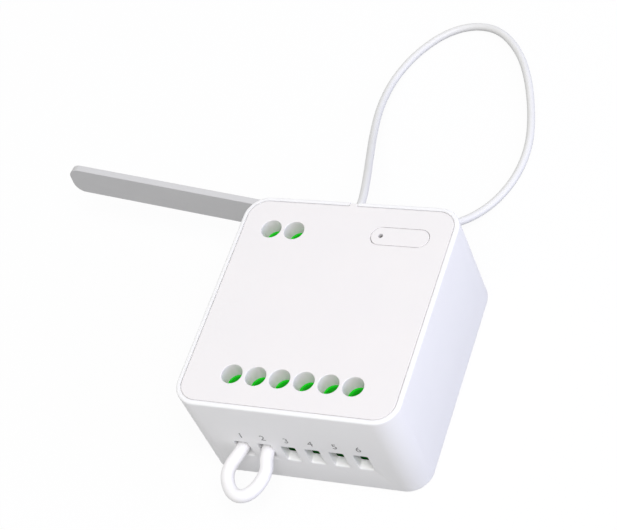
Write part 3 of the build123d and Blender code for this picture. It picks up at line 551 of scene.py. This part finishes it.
def lid(name, inset, low, high):
    """A slab with the case's outline, set in by some millimetres, between two heights."""
    slab = block(name, (-half_width + inset, -half_depth + inset, low),
                 (half_width - inset, half_depth - inset, high))
    round_edges(slab, corner_radius - inset, corner_steps, upright)
    return slab


cover = lid("cover_lid", cover_inset, seat_z, case_height)
round_edges(cover, 0.12, 3, above(case_height))
join_solid(cover, lid("cover_step", step_inset, seat_z + 0.02, case_height - step_depth))
funnel_width = access_diameter + 2 * funnel_wall
for xs, y in ((front_x, front_row_y), (back_x, back_row_y)):
    strip = pill("funnel_strip", (xs[0] + xs[-1]) / 2, y, xs[-1] - xs[0] + funnel_width, funnel_width,
                 21.15, 23.9)
    join_solid(cover, strip)

latch_x = half_width - wall - 0.12
latch_low_z = 18.3
for side in (-1, 1):
    for y in latch_rows:
        latch_y = (y - 2, y + 2)
        leg = side_block("cover_latch", side, (latch_x - 1.0, latch_x), latch_y, (latch_low_z, 23.9))
        join_solid(leg, side_block("latch_hook", side, (latch_x - 0.5, latch_x + 0.4), latch_y,
                                   (latch_low_z, 19.5)))
        join_solid(cover, leg)
lug = block("cover_lug", (-0.975, 22.43, 23.15), (0.775, 24.75, case_height))
round_edges(lug, 0.1, 2, above(case_height))
join_solid(cover, lug)


def flare(cutter, x, y, length, width, radius):
    """Carries a cutter on up past the cover's face, so that the hole's edge comes out rounded."""
    top = case_height - radius + a_hair
    pick(cutter, "faces", above(top))
    spread, height = 0.0, 0.0
    for angle in (30, 60, 90):
        wider = radius * (1 - math.cos(math.radians(angle)))
        higher = radius * math.sin(math.radians(angle))
        draw_out(0, 0, higher - height)
        grow = [(size + 2 * wider) / (size + 2 * spread) for size in (length, width)]
        bpy.ops.transform.resize(value=(*grow, 1.0), center_override=mm(x, y, top + higher))
        spread, height = wider, higher
    draw_out(0, 0, 1.0)
    close_edit()
    return cutter


access_edge = 0.15
opening_edge = 0.1
opening_length, opening_width = 12.44, 4.44
for x, y in [(x, front_row_y) for x in front_x] + [(x, back_row_y) for x in back_x]:
    hole = round_bar("access_hole", (x, y, 20.0), (x, y, case_height - access_edge + a_hair),
                     access_diameter, sides=72)
    cut_away(cover, flare(hole, x, y, access_diameter, access_diameter, access_edge))
opening = pill("button_opening", *button_place, opening_length, opening_width, 20.0,
               case_height - opening_edge + a_hair)
cut_away(cover, flare(opening, *button_place, opening_length, opening_width, opening_edge))
soften(cover, 0)

cover_abs = moulded_plastic("cover_white_abs", "#f0eded", "#eceaeb", 0.44, grain_mm=0.35, glow=0.2)
dress(cover, cover_abs)
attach(cover, "module")
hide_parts("top_cover")


# The function button is a loose white key with a flange under the cover, a stem over the switch
# and a pinhole that shows the status light. It moves down a third of a millimetre.
light_x = 7.88
stem_x = 13.9
button_y = button_place[1]
button = pill("button_key", *button_place, 12.2, 4.2, 22.5, case_height, steps=20)
round_edges(button, 0.1, 3, above(case_height))
join_solid(button, pill("button_flange", *button_place, 13.5, 5.5, 22.4, 23.2))
join_solid(button, round_bar("button_stem", (stem_x, button_y, 20.25), (stem_x, button_y, 22.6), 2.6,
                             sides=40))
cut_away(button, round_bar("light_pinhole", (light_x, button_y, 22.0), (light_x, button_y, 25.5), 1.0,
                           sides=32))
cut_away(button, round_bar("guide_bore", (light_x, button_y, 21.0), (light_x, button_y, 24.2), 1.8,
                           sides=32))
soften(button, 0)
dress(button, cover_abs)
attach(button, "button")
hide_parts("function_button")


# The strap is a flat strip of soft grey moulded plastic for pulling the module out of its wall box.
# Two staked pegs hold its root on the back wall, and it leaves the wall at a small angle. Its tip is
# cut a little aslant, with both corners rounded.
strap_turn = math.radians(7.7)
strap_length = 70.4
strap_root_length = 14.6
strap_free = strap_length - strap_root_length
strap_z = (13.0, 20.7)
strap_face = 25.2
strap_thickness = 1.45
bend_x = -18.2
root_x = -3.6
tip_slant = 0.35
tip_sag = 0.32
lower_tip_radius = 2.5
upper_tip_radius = 3.1
bend_radius = 2.5
bend_back_x = bend_x + strap_thickness * math.tan(strap_turn / 2)
strap = block("pull_strap", (bend_x, strap_face, strap_z[0]),
              (root_x, strap_face + strap_thickness, strap_z[1]))
move_corners(strap, (bend_back_x - bend_x, 0, 0),
             lambda p: p[0].x < bend_x + a_hair and p[0].y > strap_face + 1)
pick(strap, "faces", lambda p: max(v.x for v in p) < bend_x + 0.5)
run_out = Vector((-math.cos(strap_turn), math.sin(strap_turn), 0)) * strap_free
draw_out(*run_out)
close_edit()
tip = Vector((bend_x, strap_face, 0)) + run_out
tip_back = tip + Vector((math.sin(strap_turn), math.cos(strap_turn), 0)) * strap_thickness
moved_back = Vector((bend_back_x, strap_face + strap_thickness, 0)) + run_out
move_corners(strap, tip_back - moved_back, lambda p: p[0].x < tip.x + 2 and p[0].y > tip.y + 0.5)
move_corners(strap, (-tip_slant, 0, -tip_sag),
             lambda p: p[0].x < tip.x + 2 and p[0].z < strap_z[0] + 2)
move_corners(strap, (tip_slant, 0, -tip_sag),
             lambda p: p[0].x < tip.x + 2 and p[0].z >= strap_z[0] + 2)


def tip_edge(points, at_bottom):
    """Whether an edge runs through the strap's thickness at its tip's lower or upper corner."""
    first, second = points
    at_tip = max(first.x, second.x) < tip.x + 2
    through = abs(first.z - second.z) < a_hair and abs(first.x - second.x) < 0.5
    near = first.z < strap_z[0] + 1 if at_bottom else first.z > strap_z[1] - 1
    return at_tip and through and near


round_edges(strap, lower_tip_radius, 12, lambda p: tip_edge(p, at_bottom=True))
round_edges(strap, upper_tip_radius, 12, lambda p: tip_edge(p, at_bottom=False))
round_edges(strap, bend_radius, 5,
            lambda p: min(v.x for v in p) > bend_x - 0.5 and max(v.x for v in p) < bend_x + 0.5)
for x in peg_places:
    cut_away(strap, round_bar("peg_hole", (x, 24.5, peg_z), (x, 27.5, peg_z), 2.2, sides=40))
soften(strap, 0.15, steps=3, angle=45)
strap_plastic = moulded_plastic("soft_grey_strap", "#d4d4d5", "#cfcfd1", 0.5, grain_mm=0.5,
                                grain_depth_mm=0.008, ior=1.5, flow_mm=6.0)
dress(strap, strap_plastic)
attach(strap, "module")
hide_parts("mounting_strap")


# The terminals are numbered in small grey pad print on the walls, one plain figure over each entry.
# The ink stands a hair proud of the plastic.
print_ink = moulded_plastic("grey_pad_print", "#8b8b8c", "#929293", 0.6, grain_mm=0.12,
                            grain_depth_mm=0.002, ior=1.5)
front_figure_x = (-11.6, -6.9, -1.9, 3.2, 8.3, 13.2)
figure_height = 1.7
figure_foot_z = 13.95
ink_half_thickness = 0.01
ink_y = half_depth + 0.008


def print_number(figure, x, side):
    """One figure above an entry, on the front wall (side -1) or the back wall (side 1)."""
    select_only()
    turn = (math.pi / 2, 0, 0) if side < 0 else (math.pi / 2, 0, math.pi)
    bpy.ops.object.text_add(rotation=turn)
    text = bpy.context.object
    text.name = "number_%s" % figure
    text.data.body = figure
    text.data.size = mm(2.4)
    text.data.align_x = "CENTER"
    text.data.extrude = mm(ink_half_thickness)
    text.data.resolution_u = 6
    bpy.ops.object.convert(target="MESH")
    text = bpy.context.object
    settle()
    low = min(v.co.z for v in text.data.vertices)
    high = max(v.co.z for v in text.data.vertices)
    growth = mm(figure_height) / (high - low)
    bpy.ops.transform.resize(value=(growth,) * 3, center_override=(0, 0, low))
    settle()
    bpy.ops.transform.translate(value=(mm(x), side * mm(ink_y), mm(figure_foot_z) - low))
    settle()
    apply_modifier(text, "WELD", merge_threshold=mm(0.001))
    dress(text, print_ink)
    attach(text, "module")


for figure, x in zip("123456", front_figure_x):
    print_number(figure, x, -1)
for figure, x in zip("78", back_x):
    print_number(figure, x, 1)


# The terminal blocks are moulded in bright green polyamide, one of six poles and one of two. Their
# tops show as green crescents down the screw holes, and their fronts as darker corners in the
# entries, where little light reaches: below 17.5 mm the green is painted deeper, as painted shade.
def dress_node(name, finish):
    """Gives a CAD node its finish."""
    dress(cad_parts[name], finish)


# Between 14 and 17.5 mm the green fades into a darker painted shade.
green_polyamide = moulded_plastic("terminal_green_polyamide", "#08e018", "#06d414", 0.45, grain_mm=0.25,
                                  ior=1.35, painted_shade_colour="#14a030", painted_shade_heights_mm=(14.0, 17.5))
dress_node("terminal_block_six", green_polyamide)
dress_node("terminal_block_two", green_polyamide)


# The screws, clamp cages and contacts are zinc-plated steel and brass: turned or stamped, so they
# have fine tool lines and a soft, slightly uneven shine.
def plated_metal(name, colour, shade, roughness, line_mm, direction):
    """A plated or bare metal with fine tool or drawing lines, which lie closer along an axis by the
    direction's figure for it."""
    finish = new_finish(name)
    place = add_node(finish, "ShaderNodeTexCoord").outputs["Object"]
    turned = add_node(finish, "ShaderNodeMapping", {"Scale": direction}, {"Vector": place})
    lines = add_node(finish, "ShaderNodeTexNoise", {"Scale": per_metre(line_mm), "Detail": 3.0},
                     {"Vector": turned.outputs[0]})
    cloud = add_node(finish, "ShaderNodeTexNoise", {"Scale": per_metre(1.5), "Detail": 2.0},
                     {"Vector": place})
    tint = add_node(finish, "ShaderNodeMix",
                    {"data_type": "RGBA", 6: linear(colour), 7: linear(shade)},
                    {0: cloud.outputs["Fac"]})
    gloss = add_node(finish, "ShaderNodeMapRange",
                     {"To Min": roughness - 0.08, "To Max": roughness + 0.1},
                     {"Value": lines.outputs["Fac"]})
    relief = add_node(finish, "ShaderNodeBump", {"Strength": 0.3, "Distance": mm(0.004)},
                      {"Height": lines.outputs["Fac"]})
    body = add_node(finish, "ShaderNodeBsdfPrincipled", {"Metallic": 1.0},
                    {"Base Color": tint.outputs[2], "Roughness": gloss.outputs[0],
                     "Normal": relief.outputs[0]})
    return show(finish, body)


zinc_screw = plated_metal("zinc_plated_screw", "#c9cacc", "#b9babb", 0.3, 0.12, (1.0, 1.0, 4.0))
zinc_cage = plated_metal("zinc_plated_cage", "#c4c5c6", "#b0b1b3", 0.35, 0.1, (1.0, 1.0, 6.0))
stamped_brass = plated_metal("stamped_brass", "#d8b56a", "#c7a45c", 0.28, 0.1, (1.0, 5.0, 1.0))
for index in range(1, 9):
    dress_node("terminal_screw_%d" % index, zinc_screw)
    dress_node("clamp_cage_%d" % index, zinc_cage)
dress_node("contact_bars", stamped_brass)


# The boards are green glass-epoxy with solder mask; their pins are tinned, and nylon spacers and a
# black header hold the small board over the main one. The glass cloth's weave shows through the
# mask; its real 0.4 mm is too fine to show, so it is drawn 2.5 mm wide.
def masked_board(name):
    """Solder mask over woven glass cloth."""
    finish = new_finish(name)
    place = add_node(finish, "ShaderNodeTexCoord").outputs["Object"]
    weave_mm = 2.5133
    weave_scale = per_metre(weave_mm) * math.tau / 20  # at scale 1 a band is tau / 20 wide
    threads = [add_node(finish, "ShaderNodeTexWave",
                        {"wave_type": "BANDS", "bands_direction": axis, "Scale": weave_scale},
                        {"Vector": place}) for axis in "XY"]
    weave = add_node(finish, "ShaderNodeMath", {"operation": "MULTIPLY"},
                     {0: threads[0].outputs["Fac"], 1: threads[1].outputs["Fac"]})
    tint = add_node(finish, "ShaderNodeMix",
                    {"data_type": "RGBA", 6: linear("#0f5a2c"), 7: linear("#176b38")},
                    {0: weave.outputs[0]})
    relief = add_node(finish, "ShaderNodeBump", {"Strength": 0.2, "Distance": mm(0.01)},
                      {"Height": weave.outputs[0]})
    body = add_node(finish, "ShaderNodeBsdfPrincipled", {"Roughness": 0.32, "IOR": 1.55},
                    {"Base Color": tint.outputs[2], "Normal": relief.outputs[0]})
    return show(finish, body)


solder_mask = masked_board("solder_masked_board")
white_nylon = moulded_plastic("moulded_nylon", "#e9e8e0", "#e2e1d8", 0.4, ior=1.53)
black_resin = moulded_plastic("black_moulded_resin", "#242426", "#1d1d1f", 0.45, ior=1.55)
tinned_wire = plated_metal("tinned_wire", "#d4d4d0", "#c4c4c0", 0.3, 0.15, (1.0, 1.0, 5.0))
for name in ("main_board", "control_board", "radio_board"):
    dress_node(name, solder_mask)
dress_node("board_spacers", white_nylon)
dress_node("pin_header", black_resin)
dress_node("header_pins", tinned_wire)
dress_node("component_leads", tinned_wire)


# The radio's shield is a drawn can of tinned sheet, soldered to its board, with the faint parallel
# lines of the rolled sheet.
tinned_can = plated_metal("tinned_sheet", "#d0d1d2", "#c2c3c4", 0.32, 0.2, (1.0, 8.0, 1.0))
dress_node("radio_shield", tinned_can)


# The tact switch has a black body and a grey plunger; beside it the status light shines up a clear
# acrylic post to the button's pinhole. The post is polished, with a slight moulding haze.
grey_resin = moulded_plastic("grey_moulded_resin", "#a4a5a6", "#9c9d9e", 0.45, ior=1.55)
lamp_resin = moulded_plastic("lamp_chip_resin", "#ece3b4", "#e4daa6", 0.25, ior=1.5)
clear_acrylic = new_finish("clear_acrylic")
post_place = add_node(clear_acrylic, "ShaderNodeTexCoord").outputs["Object"]
post_haze = add_node(clear_acrylic, "ShaderNodeTexNoise", {"Scale": per_metre(0.6), "Detail": 3.0},
                     {"Vector": post_place})
post_gloss = add_node(clear_acrylic, "ShaderNodeMapRange", {"To Min": 0.05, "To Max": 0.18},
                      {"Value": post_haze.outputs["Fac"]})
post_body = add_node(clear_acrylic, "ShaderNodeBsdfPrincipled",
                     {"Base Color": linear("#eef2f4"), "IOR": 1.49, "Transmission Weight": 0.9},
                     {"Roughness": post_gloss.outputs[0]})
show(clear_acrylic, post_body)
dress_node("tact_switch_body", black_resin)
dress_node("tact_switch_plunger", grey_resin)
dress_node("status_light", lamp_resin)
dress_node("light_guide", clear_acrylic)


# The transformer is two ground ferrite halves, glued round a moulded black bobbin. Its winding lies
# under yellow polyester tape, which is thin and glossy.
ground_ferrite = moulded_plastic("ground_ferrite", "#4a4a4e", "#3d3d41", 0.55, grain_mm=0.2,
                                 grain_depth_mm=0.012, ior=1.8, flow_mm=3.0)
yellow_tape = moulded_plastic("yellow_polyester_tape", "#e8bf3a", "#dfb22e", 0.22, grain_mm=1.2,
                              grain_depth_mm=0.02, ior=1.6, flow_mm=4.0)
dress_node("transformer_core", ground_ferrite)
dress_node("transformer_bobbin", black_resin)
dress_node("transformer_winding", yellow_tape)


# Loose parts on the main board: two capacitors in dark shrunk sleeves, a blue dipped varistor, a
# green enamelled resistor and a black rectifier.
shrunk_sleeve = moulded_plastic("shrunk_dark_sleeve", "#3a4358", "#333b4f", 0.28, grain_mm=0.8,
                                grain_depth_mm=0.01, ior=1.5, flow_mm=5.0)
dipped_epoxy = moulded_plastic("dipped_blue_epoxy", "#3a72bd", "#2f66b2", 0.22, grain_mm=0.9,
                               grain_depth_mm=0.03, ior=1.55, flow_mm=3.0)
fired_enamel = moulded_plastic("fired_green_enamel", "#5a9370", "#4f8865", 0.35, grain_mm=0.4,
                               grain_depth_mm=0.02, ior=1.6, flow_mm=2.0)
dress_node("input_capacitor", shrunk_sleeve)
dress_node("output_capacitor", shrunk_sleeve)
dress_node("surge_varistor", dipped_epoxy)
dress_node("fusible_resistor", fired_enamel)
dress_node("bridge_rectifier", black_resin)


# Each relay: a dark base and case, an enamelled copper coil on its bobbin, a plated soft-iron yoke
# and armature, and brass contacts.
relay_shell = moulded_plastic("relay_dark_shell", "#3a3b3f", "#333437", 0.3, ior=1.55)
enamelled_coil = plated_metal("enamelled_copper_coil", "#b8653a", "#a4552f", 0.3, 0.1, (1.0, 12.0, 1.0))
plated_iron = plated_metal("plated_soft_iron", "#c6c6c2", "#b4b4b0", 0.35, 0.15, (1.0, 1.0, 5.0))
for index in (1, 2):
    dress_node("relay_base_%d" % index, relay_shell)
    dress_node("relay_case_%d" % index, relay_shell)
    dress_node("relay_coil_%d" % index, enamelled_coil)
    dress_node("relay_yoke_%d" % index, plated_iron)
    dress_node("relay_armature_%d" % index, plated_iron)
    dress_node("relay_contacts_%d" % index, stamped_brass)


# What is bare of the wires: the antenna's soldered lead inside the wall and the link wire's two
# stripped copper ends in their clamps.
bare_copper = plated_metal("bare_drawn_copper", "#d98a5f", "#c97a50", 0.28, 0.1, (1.0, 6.0, 1.0))
dress_node("antenna_lead", bare_copper)
dress_node("link_cores", bare_copper)
